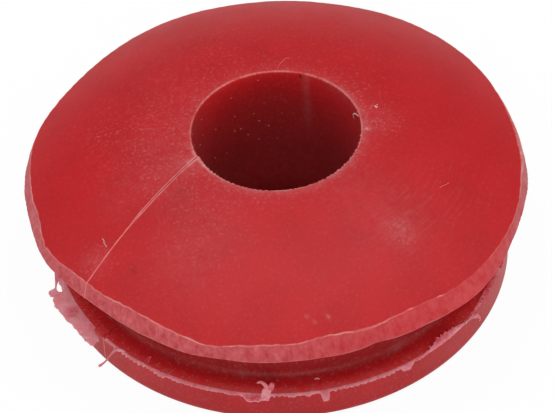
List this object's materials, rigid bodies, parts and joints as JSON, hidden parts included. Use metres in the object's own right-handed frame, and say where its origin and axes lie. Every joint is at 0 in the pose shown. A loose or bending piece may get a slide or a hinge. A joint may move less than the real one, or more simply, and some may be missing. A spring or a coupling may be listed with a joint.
{
  "type": "rubber grommet",
  "caption": "Split rubber grommet: a domed upper flange over a panel groove and a smaller flat flange, with a plain bore and a slit through the wall.",
  "frame": {"origin": "on the bore's axis, in the flat underside of the lower flange", "axes": "+Z along the bore, out of the dome; the slit runs outwards 227 degrees from +X, towards +Y"},
  "size_m": [0.0483, 0.0479, 0.0162],
  "materials": {
    "red_rubber": "matt to satin moulded rubber, with pale knife-cut edges and mould flash"
  },
  "bodies": {
    "root": {"grommet": "red_rubber"}
  },
  "joints": []
}
